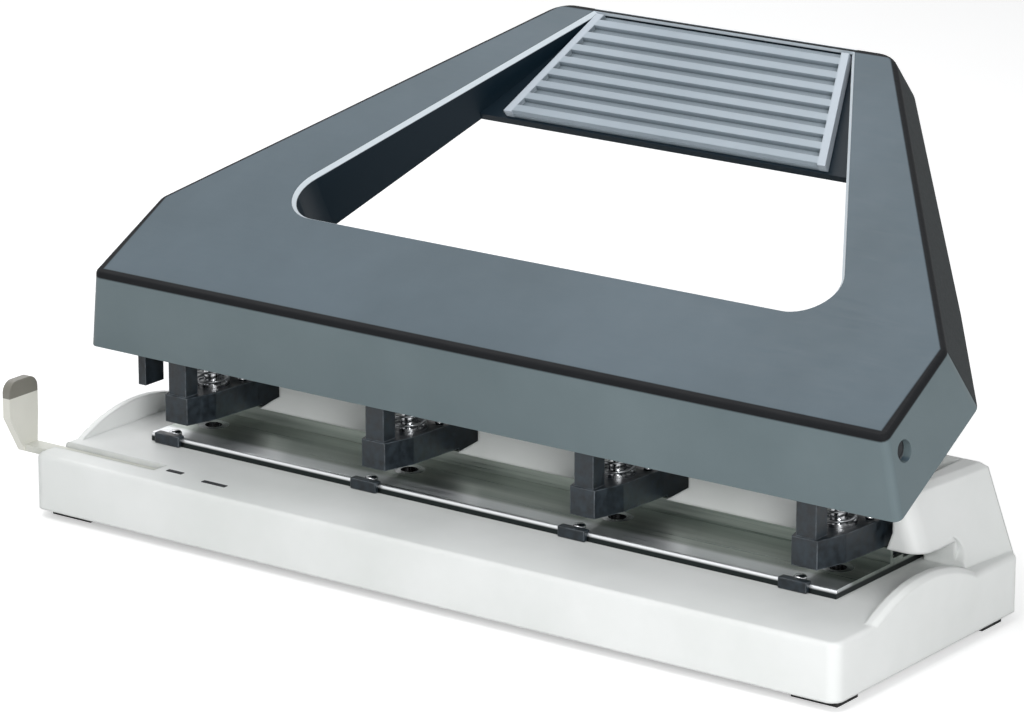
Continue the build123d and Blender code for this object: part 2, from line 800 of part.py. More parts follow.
# ---------------------------------------------------------------- paper guide
def guide_rail():
    left = -base_half - rail_reach
    low = rail_top - rail_thickness
    body = block(left, left + rail_length, rail_y - rail_width / 2, rail_y + rail_width / 2, low, rail_top)
    return body


def paddle_plate():
    """The whole upright plate, of which the cap is the top part."""
    bottom = rail_top - rail_thickness
    left = rail_y + paddle_offset - paddle_width / 2
    right = rail_y + paddle_offset + paddle_width / 2
    outline = [
        (rail_y - rail_width / 2, bottom),
        (rail_y + rail_width / 2, bottom),
        (right, bottom + paddle_height / 2),
        (right, bottom + paddle_height),
        (left, bottom + paddle_height),
        (left, bottom + paddle_height / 2),
    ]
    near = -base_half - rail_reach
    body = side_plate(outline, near - paddle_thickness, near)
    return fillet(body.edges().filter_by(Axis.X).group_by(Axis.Z)[-1], paddle_corner)


def above_joint():
    """The space of the paddle's cap."""
    bottom = rail_top - rail_thickness + paddle_height - paddle_cap_height
    return block(-base_length, 0, -base_depth, 0, bottom, bottom + paddle_height)


def guide_paddle():
    return paddle_plate() - above_joint()


def paddle_cap():
    return paddle_plate() & above_joint()


# ---------------------------------------------------------------- write every piece
def at_each_hole(piece):
    """One node of the same piece over every hole."""
    return Compound([piece(x) for x in hole_xs])


def main():
    write("base_housing", base_housing())
    write("bottom_plate", bottom_plate())
    write("chip_tray", chip_tray())
    write("die_plate", die_plate())
    write("die_bushes", at_each_hole(die_bush))
    write("paper_stop", paper_stop())
    write("head_brackets", at_each_hole(head_bracket))
    write("punch_guides", at_each_hole(punch_guide))
    write("bracket_screws", at_each_hole(bracket_screw))
    write("pivot_rod", pivot_rod())
    write("rod_clips", rod_clips())
    write("handle_shell", handle_shell())
    write("grip_pad", grip_pad())
    write("lever_frame", lever_frame())
    write("press_yokes", at_each_hole(press_yoke))
    write("guide_rail", guide_rail())
    write("guide_paddle", guide_paddle())
    write("paddle_cap", paddle_cap())
    write("rubber_feet", rubber_feet())
    write("tray_pad", tray_pad())
    for number, x in enumerate(hole_xs, start=1):
        write("punch_pin_" + str(number), punch_pin(x))
        write("return_spring_" + str(number), coil_spring(x))


main()
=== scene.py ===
"""Looks of the four-hole desk punch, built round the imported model. All lengths are in metres."""
import math

import bmesh
import bpy
from mathutils import Matrix, Vector


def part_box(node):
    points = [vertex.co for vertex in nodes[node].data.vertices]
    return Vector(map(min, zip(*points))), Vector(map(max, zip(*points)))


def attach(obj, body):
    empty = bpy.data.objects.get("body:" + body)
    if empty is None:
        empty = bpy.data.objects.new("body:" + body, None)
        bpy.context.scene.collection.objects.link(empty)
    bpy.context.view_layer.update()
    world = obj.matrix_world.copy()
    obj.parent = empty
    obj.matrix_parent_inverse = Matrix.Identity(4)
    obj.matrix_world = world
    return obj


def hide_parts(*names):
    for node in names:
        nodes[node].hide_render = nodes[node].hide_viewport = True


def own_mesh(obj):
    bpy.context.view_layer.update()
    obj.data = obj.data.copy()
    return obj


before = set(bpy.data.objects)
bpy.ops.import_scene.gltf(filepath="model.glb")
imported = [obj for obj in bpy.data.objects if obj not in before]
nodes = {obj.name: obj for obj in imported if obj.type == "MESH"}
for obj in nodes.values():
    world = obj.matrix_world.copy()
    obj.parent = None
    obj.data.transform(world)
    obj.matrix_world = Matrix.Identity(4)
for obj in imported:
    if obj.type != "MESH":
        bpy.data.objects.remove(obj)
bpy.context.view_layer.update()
heads = range(1, 5)

RIGHT = Vector((1.0, 0.0, 0.0))
BACK = Vector((0.0, 1.0, 0.0))
UP = Vector((0.0, 0.0, 1.0))

# The handle's plane, as the model holds it at rest. Widths are measured from the middle, and
# lengths along the top from its front edge. A narrowing is the half width lost per length.
REST_TILT = math.radians(28.4)
PIVOT = Vector((0.0, -0.01475, 0.0698))
TOP_NORMAL = Vector((0.0, -math.sin(REST_TILT), math.cos(REST_TILT)))
TOP_BACKWARD = Vector((0.0, math.cos(REST_TILT), math.sin(REST_TILT)))
TOP_HEIGHT = 0.0091
TOP_FRONT = 0.0045
OPENING_FRONT = 0.042
OPENING_BACK = 0.156
OPENING_HALF = 0.1099
OPENING_NARROWING = 0.5333
HANDLE_HALF = 0.1495
HANDLE_BREAK = 0.0381
HANDLE_NARROWING = 0.709
HANDLE_LENGTH = 0.1577
PAD_FRONT = 0.1123
PAD_HALF = 0.062
PAD_NARROWING = 0.302


# ------------------------------------------------------------------ node helpers
def linear(rgb):
    """sRGB 0-255 to the linear colour that a shader takes."""
    return tuple(pow(c / 255.0, 2.2) for c in rgb) + (1.0,)


class Maker:
    """A new material with a few words for the nodes that most of them need."""

    def __init__(self, name, roughness=0.5, metallic=0.0, **sockets):
        self.material = bpy.data.materials.new(name)
        self.material.use_nodes = True
        self.tree = self.material.node_tree
        self.shader = self.tree.nodes["Principled BSDF"]
        self.shader.inputs["Roughness"].default_value = roughness
        self.shader.inputs["Metallic"].default_value = metallic
        for socket, value in sockets.items():
            self.shader.inputs[socket.replace("_", " ")].default_value = value
        self.coords = self.node("ShaderNodeTexCoord")

    def node(self, kind, **settings):
        made = self.tree.nodes.new(kind)
        for key, value in settings.items():
            setattr(made, key, value)
        return made

    def link(self, source, target):
        self.tree.links.new(source, target)

    def place(self, scale):
        """The node's own place, stretched by scale."""
        mapping = self.node("ShaderNodeMapping")
        mapping.inputs["Scale"].default_value = scale
        self.link(self.coords.outputs["Object"], mapping.inputs["Vector"])
        return mapping.outputs["Vector"]

    def noise(self, scale, detail=4.0, roughness=0.55, vector=None):
        made = self.node("ShaderNodeTexNoise")
        made.inputs["Scale"].default_value = scale
        made.inputs["Detail"].default_value = detail
        made.inputs["Roughness"].default_value = roughness
        self.link(vector or self.coords.outputs["Object"], made.inputs["Vector"])
        return made.outputs["Fac"]

    def streaks(self, stretch, detail=8.0, roughness=0.75):
        """Noise drawn out by its unequal scales."""
        return self.noise(1.0, detail=detail, roughness=roughness, vector=self.place(stretch))

    def remap(self, value, low, high, start=0.35, end=0.65):
        """From low at start to high at end. The ends that are given suit the spread of noise."""
        made = self.node("ShaderNodeMapRange", clamp=True)
        limits = {"From Min": start, "From Max": end, "To Min": low, "To Max": high}
        for socket, number in limits.items():
            made.inputs[socket].default_value = number
        self.link(value, made.inputs["Value"])
        return made.outputs["Result"]

    def rises(self, value, start, end):
        """A mask that is 0 up to start and 1 from end."""
        return self.remap(value, 0.0, 1.0, start, end)

    def falls(self, value, start, end):
        """A mask that is 1 up to start and 0 from end."""
        return self.remap(value, 1.0, 0.0, start, end)

    def math(self, operation, a, b=None):
        made = self.node("ShaderNodeMath", operation=operation)
        for slot_index, value in enumerate((a, b)):
            if value is None:
                continue
            if isinstance(value, (int, float)):
                made.inputs[slot_index].default_value = value
            else:
                self.link(value, made.inputs[slot_index])
        return made.outputs["Value"]

    def all_of(self, first, *others):
        """The product of masks."""
        for other in others:
            first = self.math("MULTIPLY", first, other)
        return first

    def any_of(self, first, *others):
        """The largest of masks."""
        for other in others:
            first = self.math("MAXIMUM", first, other)
        return first

    def blend_of(self, first, second, second_share):
        """The weighted mean of two values."""
        kept = self.math("MULTIPLY", first, 1.0 - second_share)
        return self.math("ADD", kept, self.math("MULTIPLY", second, second_share))

    def mix(self, factor, first, second):
        made = self.node("ShaderNodeMix", data_type="RGBA")
        for socket, value in ((0, factor), (6, first), (7, second)):
            if isinstance(value, (tuple, list, float)):
                made.inputs[socket].default_value = value
            else:
                self.link(value, made.inputs[socket])
        return made.outputs[2]

    def mottled(self, noise, dark, light):
        """A colour that noise moves between two near sRGB tones."""
        return self.mix(self.remap(noise, 0.0, 1.0), linear(dark), linear(light))

    def color(self, source):
        self.link(source, self.shader.inputs["Base Color"])

    def rough(self, source):
        self.link(source, self.shader.inputs["Roughness"])

    def bump(self, height, strength, distance, normal=None):
        made = self.node("ShaderNodeBump")
        made.inputs["Strength"].default_value = strength
        made.inputs["Distance"].default_value = distance
        self.link(height, made.inputs["Height"])
        if normal is not None:
            self.link(normal, made.inputs["Normal"])
        self.link(made.outputs["Normal"], self.shader.inputs["Normal"])

    def dot(self, source, direction):
        made = self.node("ShaderNodeVectorMath", operation="DOT_PRODUCT")
        self.link(source, made.inputs[0])
        made.inputs[1].default_value = direction
        return made.outputs["Value"]

    def facing(self, direction):
        """How far the surface faces along direction, at rest: 1 squarely, 0 across."""
        return self.dot(self.coords.outputs["Normal"], direction)

    def measure(self, direction, origin):
        """Distance of a point from origin along direction, both in the row frame at rest."""
        moved = self.node("ShaderNodeVectorMath", operation="SUBTRACT")
        self.link(self.coords.outputs["Object"], moved.inputs[0])
        moved.inputs[1].default_value = origin
        return self.dot(moved.outputs["Vector"], direction)

    def occlusion(self, distance, low, high, start=0.0, end=1.0):
        """From low in the corners to high in the open."""
        made = self.node("ShaderNodeAmbientOcclusion", samples=8)
        made.inputs["Distance"].default_value = distance
        return self.remap(made.outputs["AO"], low, high, start, end)

    def rounded(self, radius):
        """The normal of a surface whose edges are rounded over by this radius."""
        bevel = self.node("ShaderNodeBevel", samples=6)
        bevel.inputs["Radius"].default_value = radius
        return bevel.outputs["Normal"]

    def edge_mask(self, radius, low, high):
        """1 where the surface turns within this radius, from the bevelled normal."""
        geometry = self.node("ShaderNodeNewGeometry")
        turn = self.node("ShaderNodeVectorMath", operation="DOT_PRODUCT")
        self.link(self.rounded(radius), turn.inputs[0])
        self.link(geometry.outputs["Normal"], turn.inputs[1])
        return self.falls(turn.outputs["Value"], low, high)


# ------------------------------------------------------------------ plastics and rubber
def moulded_plastic(name, light, dark, roughness):
    """Injection-moulded plastic: spark-eroded grain, faint flow mottling and handled gloss."""
    m = Maker(name, roughness=roughness)
    m.color(m.mottled(m.noise(scale=26.0, detail=5.0), dark, light))
    handled = m.noise(scale=60.0, detail=3.0)
    m.rough(m.remap(handled, roughness - 0.06, roughness + 0.08))
    m.bump(m.noise(scale=1800.0, detail=2.0), strength=0.35, distance=0.00005)
    return m.material


HOUSING_DARK = (222, 225, 223)
HOUSING_LIGHT = (233, 235, 234)
# The grey of the shade painted into corners and recesses, and how far the occlusion reaches.
HOUSING_CORNER_SHADE = (150, 155, 152)
CORNER_SHADE_REACH = 0.012
HOUSING_EDGE = 0.0012


def housing_white():
    """Off-white base: grain, softened edges and grey shade painted into the corners, broken up by streaky
    noise.
    """
    m = Maker("housing_white", roughness=0.42, Specular_IOR_Level=0.45)
    unshaded = m.mottled(m.noise(scale=18.0, detail=6.0), HOUSING_DARK, HOUSING_LIGHT)
    streak = m.remap(m.noise(scale=140.0, detail=4.0), 0.45, 1.0)
    # Painted shade: occlusion pulls the colour to grey in corners and recesses, where the streaky noise
    # lets it.
    corner = m.occlusion(CORNER_SHADE_REACH, 0.95, 0.0, start=0.0, end=0.55)
    m.color(m.mix(m.all_of(corner, streak), unshaded, linear(HOUSING_CORNER_SHADE)))
    m.rough(m.remap(m.noise(scale=45.0), 0.36, 0.50))
    grain = m.noise(scale=2200.0, detail=2.0)
    m.bump(grain, strength=0.30, distance=0.00004, normal=m.rounded(HOUSING_EDGE))
    return m.material


GRIP_DARK = (154, 166, 176)
GRIP_LIGHT = (164, 176, 186)
# The colour of the shade painted between the ribs.
GRIP_GROOVE_SHADE = (70, 82, 88)
GRIP_BORDER = (184, 194, 204)
GROOVE_SHADE_REACH = 0.0030
GRIP_EDGE = 0.0004
BORDER_OUTER = 0.0026
BORDER_INNER = 0.0034


def grip_plastic():
    """Pale ribbed pad, with shade painted darker into the hollows between its ribs, and bright on its
    border.
    """
    m = Maker("grip_plastic", roughness=0.44)
    unshaded = m.mottled(m.noise(scale=26.0, detail=5.0), GRIP_DARK, GRIP_LIGHT)
    # Painted shade: occlusion darkens the hollows between the ribs.
    groove_shade = m.occlusion(GROOVE_SHADE_REACH, 1.0, 0.0, start=0.35, end=0.95)
    ribbed = m.mix(groove_shade, unshaded, linear(GRIP_GROOVE_SHADE))
    across = m.math("ABSOLUTE", m.measure(RIGHT, PIVOT))
    behind = m.math("ADD", m.measure(TOP_BACKWARD, PIVOT), TOP_FRONT - PAD_FRONT)
    beyond = m.math("ADD", across, m.math("MULTIPLY", behind, PAD_NARROWING))
    border = m.rises(beyond, PAD_HALF - BORDER_INNER, PAD_HALF - BORDER_OUTER)
    m.color(m.mix(border, ribbed, linear(GRIP_BORDER)))
    m.rough(m.remap(m.noise(scale=60.0, detail=3.0), 0.38, 0.52))
    grain = m.noise(scale=2400.0, detail=2.0)
    m.bump(grain, strength=0.35, distance=0.00004, normal=m.rounded(GRIP_EDGE))
    return m.material


RUBBER_DARK = (26, 27, 28)
RUBBER_DUSTY = (58, 58, 57)


def rubber():
    """Moulded rubber, greyed by dust."""
    m = Maker("foot_rubber", roughness=0.82, Specular_IOR_Level=0.3)
    m.color(m.mottled(m.noise(scale=220.0, detail=6.0), RUBBER_DARK, RUBBER_DUSTY))
    m.bump(m.noise(scale=1600.0, detail=2.0), strength=0.4, distance=0.00006)
    return m.material


# ------------------------------------------------------------------ the handle's lacquer
# Each fade is the start and end of a mask's edge, as a distance past the line that it follows.
WALL_FADE = (0.0004, 0.0008)
WALL_END_FADE = 0.0004
WALL_DEPTH = (0.0013, 0.0016)
BEVEL_SIDE_FADE = (0.0018, 0.0024)
BEVEL_FRONT_FADE = (0.0020, 0.0014)
BEVEL_DEPTH = (0.0012, 0.0015)
BEVEL_SKIN = (0.00002, 0.00010)
RIM_STRIP = 0.0021
RIM_FADE = 0.0004
RIM_SIDE_FADE = 0.0006
RIM_DEPTH = (0.0014, 0.0019)

# Ranges of the part of the surface's normal that faces along the top's, or backward.
FLAT_TOP = (0.94, 0.995)
SIDE_BACKWARD = (0.25, 0.32)
SIDE_TOPWARD = (0.5, 0.6)

SKIRT_DARK = (95, 108, 112)
SKIRT_LIGHT = (105, 118, 122)
# The top's tone, a darker copy of the skirt's: painted shade on the handle's top.
TOP_SHADE_DARK = (71, 86, 95)
TOP_SHADE_LIGHT = (81, 96, 106)
# Painted shade on the handle's slanted sides.
SIDE_SHADE = (14, 24, 27)
RIM_TONE = (6, 11, 16)
# Painted shade on the inner wall of the hand opening.
WALL_SHADE = (20, 34, 43)
# A painted highlight along the bevel round the opening.
BEVEL_HIGHLIGHT = (208, 217, 224)


def inside_opening(m, across, behind, depth):
    """Masks of the hand opening: its inner wall, for painted shade, and the bevel round its top, for a
    painted highlight.
    """
    narrowed = m.math("MULTIPLY", m.math("SUBTRACT", behind, OPENING_FRONT), OPENING_NARROWING)
    beyond = m.math("ADD", across, narrowed)
    wall_shade = m.all_of(
        m.falls(beyond, OPENING_HALF + WALL_FADE[0], OPENING_HALF + WALL_FADE[1]),
        m.rises(behind, OPENING_FRONT - WALL_END_FADE, OPENING_FRONT),
        m.falls(behind, OPENING_BACK, OPENING_BACK + WALL_END_FADE),
        m.rises(depth, *WALL_DEPTH))
    bevel = m.all_of(
        m.falls(beyond, OPENING_HALF + BEVEL_SIDE_FADE[0], OPENING_HALF + BEVEL_SIDE_FADE[1]),
        m.rises(behind, OPENING_FRONT - BEVEL_FRONT_FADE[0], OPENING_FRONT - BEVEL_FRONT_FADE[1]),
        m.falls(depth, *BEVEL_DEPTH),
        m.rises(depth, *BEVEL_SKIN))
    return wall_shade, bevel


def near_rim(m, across, behind):
    """Mask of the strip of the handle's top along its outer edges."""
    front = m.falls(behind, RIM_STRIP, RIM_STRIP + RIM_FADE)
    reach = m.math("MULTIPLY", m.math("SUBTRACT", behind, HANDLE_BREAK), HANDLE_NARROWING)
    widened = m.math("ADD", across, m.math("MAXIMUM", reach, 0.0))
    to_side = m.math("SUBTRACT", HANDLE_HALF, widened)
    side = m.falls(to_side, RIM_STRIP, RIM_STRIP + RIM_SIDE_FADE)
    rear_start = HANDLE_LENGTH - RIM_STRIP
    rear = m.rises(behind, rear_start, rear_start + RIM_FADE)
    return m.any_of(front, side, rear)


def handle_lacquer():
    """Blue-grey satin handle: dark outer border, painted shade on its top, its slanted sides and the
    opening's inner wall, and a painted highlight on the bevel round the opening.
    """
    m = Maker("handle_lacquer", roughness=0.40, Specular_IOR_Level=0.25)
    mottle = m.noise(scale=14.0, detail=6.0)
    skirt = m.mottled(mottle, SKIRT_DARK, SKIRT_LIGHT)
    shaded_top = m.mottled(mottle, TOP_SHADE_DARK, TOP_SHADE_LIGHT)

    across = m.math("ABSOLUTE", m.measure(RIGHT, PIVOT))
    behind = m.math("ADD", m.measure(TOP_BACKWARD, PIVOT), TOP_FRONT)
    depth = m.math("SUBTRACT", TOP_HEIGHT, m.measure(TOP_NORMAL, PIVOT))
    wall_shade, bevel = inside_opening(m, across, behind, depth)
    topward = m.facing(TOP_NORMAL)
    flat = m.rises(topward, *FLAT_TOP)
    # Painted shade: the slanted sides are coloured near black.
    shaded_sides = m.all_of(m.rises(m.facing(BACK), *SIDE_BACKWARD), m.falls(topward, *SIDE_TOPWARD))
    turned_or_near = m.any_of(m.math("SUBTRACT", 1.0, flat), near_rim(m, across, behind))
    off_bevel = m.math("SUBTRACT", 1.0, bevel)
    rim = m.all_of(turned_or_near, m.falls(depth, *RIM_DEPTH), off_bevel)

    # Painted shade: the flat top takes the darker copy of the skirt's tone.
    tone = m.mix(flat, skirt, shaded_top)
    tone = m.mix(shaded_sides, tone, linear(SIDE_SHADE))
    tone = m.mix(rim, tone, linear(RIM_TONE))
    # Painted shade: the opening's inner wall is coloured near black.
    tone = m.mix(wall_shade, tone, linear(WALL_SHADE))
    # Painted highlight: the bevel round the opening is coloured near white.
    m.color(m.mix(bevel, tone, linear(BEVEL_HIGHLIGHT)))

    scuffs = m.streaks((90.0, 900.0, 900.0), roughness=0.7)
    gloss = m.remap(scuffs, 0.36, 0.46, start=0.3, end=0.7)
    dulled = m.math("MULTIPLY", m.any_of(rim, shaded_sides), 0.35)
    m.rough(m.math("ADD", gloss, dulled))
    m.bump(m.noise(scale=2600.0, detail=2.0), strength=0.22, distance=0.00003)
    return m.material


# ------------------------------------------------------------------ metals
PLATE_DARK = (128, 138, 133)
PLATE_LIGHT = (186, 192, 186)
# Painted light on the plate's front strip.
PLATE_LIT_STRIP = (226, 229, 231)
# Painted shade on the plate's front face.
PLATE_EDGE_SHADE = (52, 57, 57)
LIT_STRIP_FROM_LIP = (0.0070, 0.0095)
SHADE_UNDER_TOP = (-0.0013, -0.0007)
PLATE_ROUNDING = 0.0003


def plate_steel():
    """Dark rolled plate, streaked along the row of holes, with a painted pool of light on its front strip
    and painted shade on its front face.
    """
    m = Maker("plate_steel", roughness=0.34, metallic=1.0)
    lines = m.streaks((8.0, 900.0, 900.0))
    wipes = m.streaks((9.0, 120.0, 100.0), detail=4.0, roughness=0.55)
    body = m.mottled(m.blend_of(lines, wipes, 0.5), PLATE_DARK, PLATE_LIGHT)
    low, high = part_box("die_plate")
    # Painted light: a bright strip along the front of the plate's top.
    strip = m.falls(m.measure(BACK, low), *LIT_STRIP_FROM_LIP)
    lit_strip_tone = m.mix(strip, body, linear(PLATE_LIT_STRIP))
    # Painted shade: the front face below the top is coloured dark.
    edge = m.falls(m.measure(UP, high), *SHADE_UNDER_TOP)
    m.color(m.mix(edge, lit_strip_tone, linear(PLATE_EDGE_SHADE)))
    m.rough(m.remap(lines, 0.26, 0.44))
    m.bump(lines, strength=0.25, distance=0.00003, normal=m.rounded(PLATE_ROUNDING))
    return m.material


WIPE_BREADTH = 9.0


def brushed_steel(name, light, dark, roughness, along):
    """Steel with fine lines along one axis and a few darker wipes."""
    m = Maker(name, roughness=roughness, metallic=1.0)
    lines = m.streaks(along)
    broad = tuple(scale / WIPE_BREADTH for scale in along)
    wipes = m.streaks(broad, detail=4.0, roughness=0.55)
    m.color(m.mottled(m.blend_of(lines, wipes, 0.45), dark, light))
    m.rough(m.remap(lines, roughness - 0.08, roughness + 0.12))
    m.bump(lines, strength=0.25, distance=0.00003)
    return m.material


CASTING_DARK = (20, 26, 31)
CASTING_LIGHT = (38, 47, 54)
CASTING_WORN = (104, 112, 118)
CASTING_EDGE = 0.0006
WORN_TURN = (0.90, 0.995)


def black_casting():
    """Black-blue enamel over a sand casting, worn brighter on its edges."""
    m = Maker("black_casting", roughness=0.42, Specular_IOR_Level=0.5)
    skin = m.noise(scale=420.0, detail=5.0)
    body = m.mottled(skin, CASTING_DARK, CASTING_LIGHT)
    patches = m.remap(m.noise(scale=300.0), 0.1, 0.9)
    worn = m.all_of(m.edge_mask(CASTING_EDGE, *WORN_TURN), patches)
    m.color(m.mix(worn, body, linear(CASTING_WORN)))
    m.rough(m.remap(skin, 0.34, 0.52))
    m.bump(skin, strength=0.35, distance=0.00012, normal=m.rounded(CASTING_EDGE))
    return m.material


# ------------------------------------------------------------------ one material for each node
def steels():
    ground = brushed_steel(
        "ground_steel", light=(214, 216, 218), dark=(160, 163, 166),
        roughness=0.16, along=(1500.0, 1500.0, 60.0))
    rod = brushed_steel(
        "rod_steel", light=(196, 199, 202), dark=(140, 144, 148),
        roughness=0.2, along=(1500.0, 60.0, 60.0))
    zinc = brushed_steel(
        "zinc_plate", light=(176, 179, 182), dark=(124, 127, 130),
        roughness=0.32, along=(300.0, 300.0, 300.0))
    return ground, rod, zinc


def small_plastics():
    dark = moulded_plastic("dark_plastic", light=(44, 46, 49), dark=(32, 34, 37), roughness=0.5)
    rail = moulded_plastic("rail_plastic", light=(204, 205, 197), dark=(190, 191, 184), roughness=0.42)
    paddle = moulded_plastic("paddle_plastic", light=(222, 221, 212), dark=(210, 209, 200), roughness=0.38)
    cap = moulded_plastic("cap_plastic", light=(128, 126, 117), dark=(114, 112, 105), roughness=0.42)
    return dark, rail, paddle, cap


def dress_nodes():
    """Dresses every node, and hands back the materials that the scene's own pieces share."""
    ground, rod, zinc = steels()
    dark, rail, paddle, cap = small_plastics()
    casting = black_casting()
    plate = plate_steel()
    tread = rubber()
    chosen = {
        "base_housing": housing_white(),
        "bottom_plate": dark,
        "chip_tray": dark,
        "rubber_feet": tread,
        "tray_pad": tread,
        "die_plate": plate,
        "paper_stop": plate,
        "die_bushes": ground,
        "punch_guides": ground,
        "head_brackets": casting,
        "press_yokes": casting,
        "lever_frame": casting,
        "bracket_screws": zinc,
        "rod_clips": zinc,
        "pivot_rod": rod,
        "handle_shell": handle_lacquer(),
        "grip_pad": grip_plastic(),
        "guide_rail": rail,
        "guide_paddle": paddle,
        "paddle_cap": cap,
    }
    for i in heads:
        chosen[f"punch_pin_{i}"] = ground
        chosen[f"return_spring_{i}"] = zinc
    for name, node in nodes.items():
        node.data.materials.clear()
        node.data.materials.append(chosen[name])
    return {"casting": casting, "bright": ground, "zinc": zinc, "dark": dark}


# ------------------------------------------------------------------ mesh helpers
def add_piece(name, build, material, smooth=False):
    """A mesh piece made by build(bmesh), in the row frame."""
    work = bmesh.new()
    build(work)
    bmesh.ops.recalc_face_normals(work, faces=work.faces)
    mesh = bpy.data.meshes.new(name)
    work.to_mesh(mesh)
    work.free()
    for face in mesh.polygons:
        face.use_smooth = smooth
    mesh.materials.append(material)
    piece = bpy.data.objects.new(name, mesh)
    bpy.context.scene.collection.objects.link(piece)
    return piece


def ring_of(work, centre, across, up, radius, sides):
    ring = []
    for k in range(sides):
        turn = 2.0 * math.pi * k / sides
        offset = across * (radius * math.cos(turn)) + up * (radius * math.sin(turn))
        ring.append(work.verts.new(centre + offset))
    return ring


def skin_of(work, rings):
    """Joins a row of rings into one closed form."""
    count = len(rings[0])
    for first, second in zip(rings, rings[1:]):
        for k in range(count):
            after = (k + 1) % count
            work.faces.new((first[k], first[after], second[after], second[k]))
    work.faces.new(rings[0])
    work.faces.new(rings[-1])


def lathe(work, centre, axis, side, profile, sides=28):
    """A closed turned form: profile gives (distance along axis, radius) from end to end."""
    other = axis.cross(side)
    rings = []
    for along, radius in profile:
        rings.append(ring_of(work, centre + axis * along, side, other, radius, sides))
    skin_of(work, rings)


def bevelled_box(work, low, high, bevel):
    size = Vector(high) - Vector(low)
    middle = (Vector(high) + Vector(low)) / 2.0
    matrix = Matrix.Translation(middle) @ Matrix.Diagonal((*size, 1.0))
    made = bmesh.ops.create_cube(work, size=1.0, matrix=matrix)
    edges = {edge for vert in made["verts"] for edge in vert.link_edges}
    bmesh.ops.bevel(work, geom=list(edges), offset=bevel, segments=2, affect="EDGES", profile=0.7)


# ------------------------------------------------------------------ pieces of the base
HEAD_PITCH = 0.080
ROW_MIDDLE = 2.5


def hole_x(number):
    return HEAD_PITCH * (number - ROW_MIDDLE)


SPRING_TURNS = 5.5
SPRING_DEAD = 0.75
SPRING_WIRE = 0.00045
SPRING_STEPS = 22
WIRE_SIDES = 8


def helix_wire(work, low, high):
    """Round wire with closed ends, wound up the box of the spring's node."""
    axis_x = (low.x + high.x) / 2.0
    radius = (high.x - low.x) / 2.0 - SPRING_WIRE
    bottom = low.z + SPRING_WIRE
    top = high.z - SPRING_WIRE
    rings = []
    for step in range(int(SPRING_TURNS * SPRING_STEPS) + 1):
        turns = step / SPRING_STEPS
        share = (turns - SPRING_DEAD) / (SPRING_TURNS - 2.0 * SPRING_DEAD)
        z = bottom + (top - bottom) * min(max(share, 0.0), 1.0)
        angle = 2.0 * math.pi * turns
        outward = Vector((math.cos(angle), math.sin(angle), 0.0))
        centre = Vector((axis_x, 0.0, z)) + outward * radius
        rings.append(ring_of(work, centre, outward, UP, SPRING_WIRE, WIRE_SIDES))
    skin_of(work, rings)


def springs(material):
    """Round-wire return springs."""
    for i in heads:
        node = f"return_spring_{i}"
        low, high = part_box(node)
        piece = add_piece(
            f"wound_spring_{i}", lambda work: helix_wire(work, low, high), material, smooth=True)
        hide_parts(node)
        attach(piece, "base")
        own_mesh(piece)


# The tabs, measured from the middle of their hole, the lip of the plate and its two faces.
TAB_LEFT = -0.0085
TAB_RIGHT = 0.0015
TAB_OVERHANG = 0.0016
TAB_LAP = 0.0014
TAB_LIFT = 0.0001
TAB_ABOVE = 0.0008
TAB_BEVEL = 0.0005
RIVET_LEFT = -0.0035
RIVET_BEHIND = 0.0030
RIVET_PROFILE = ((0.0, 0.0021), (0.0006, 0.0021), (0.0011, 0.0016), (0.0013, 0.0008))


def nose_tabs(material, bright):
    """Ends of the castings' lower jaws, which lap over the plate's front lip, with their rivets."""
    low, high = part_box("die_plate")
    for i in heads:
        x = hole_x(i)
        tab_low = (x + TAB_LEFT, low.y - TAB_OVERHANG, low.z + TAB_LIFT)
        tab_high = (x + TAB_RIGHT, low.y + TAB_LAP, high.z + TAB_ABOVE)
        tab = add_piece(
            f"jaw_tab_{i}", lambda work: bevelled_box(work, tab_low, tab_high, TAB_BEVEL), material)
        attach(tab, "base")
        centre = Vector((x + RIVET_LEFT, low.y + RIVET_BEHIND, high.z))
        rivet = add_piece(
            f"jaw_rivet_{i}",
            lambda work: lathe(work, centre, UP, RIGHT, RIVET_PROFILE),
            bright, smooth=True)
        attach(rivet, "base")


# Left end, right end and middle line of each mark.
FORMAT_MARKS = ((-0.1064, -0.1002, -0.0393), (-0.0902, -0.0808, -0.0414))
MARK_HALF = 0.0009
MARK_HEIGHT = 0.0002
MARK_BEVEL = 0.00006


def format_marks(material):
    """Two dark windows in the shelf, in front of the plate, for setting the paper's format."""
    shelf_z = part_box("die_plate")[0].z
    for number, (left, right, line) in enumerate(FORMAT_MARKS, 1):
        low = (left, line - MARK_HALF, shelf_z)
        high = (right, line + MARK_HALF, shelf_z + MARK_HEIGHT)
        mark = add_piece(
            f"format_mark_{number}", lambda work: bevelled_box(work, low, high, MARK_BEVEL), material)
        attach(mark, "base")


GUIDE_RISE = 0.001
SCREW_ASIDE = 0.0055
SCREW_BEHIND = 0.0085
SCREW_SIDES = 18
SCREW_PROFILE = ((0.0, 0.0014), (0.0009, 0.0014), (0.0011, 0.0011), (0.0011, 0.0006), (0.0006, 0.0006))
SIDES = {"left": -1.0, "right": 1.0}


def arm_screws(bright):
    """Socketed screws on top of the arms, which lock the punch guides."""
    arm_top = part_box("punch_guides")[1].z - GUIDE_RISE
    for i in heads:
        for side, sign in SIDES.items():
            centre = Vector((hole_x(i) + sign * SCREW_ASIDE, SCREW_BEHIND, arm_top))
            screw = add_piece(
                f"guide_screw_{i}_{side}",
                lambda work: lathe(work, centre, UP, RIGHT, SCREW_PROFILE, sides=SCREW_SIDES),
                bright, smooth=True)
            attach(screw, "base")


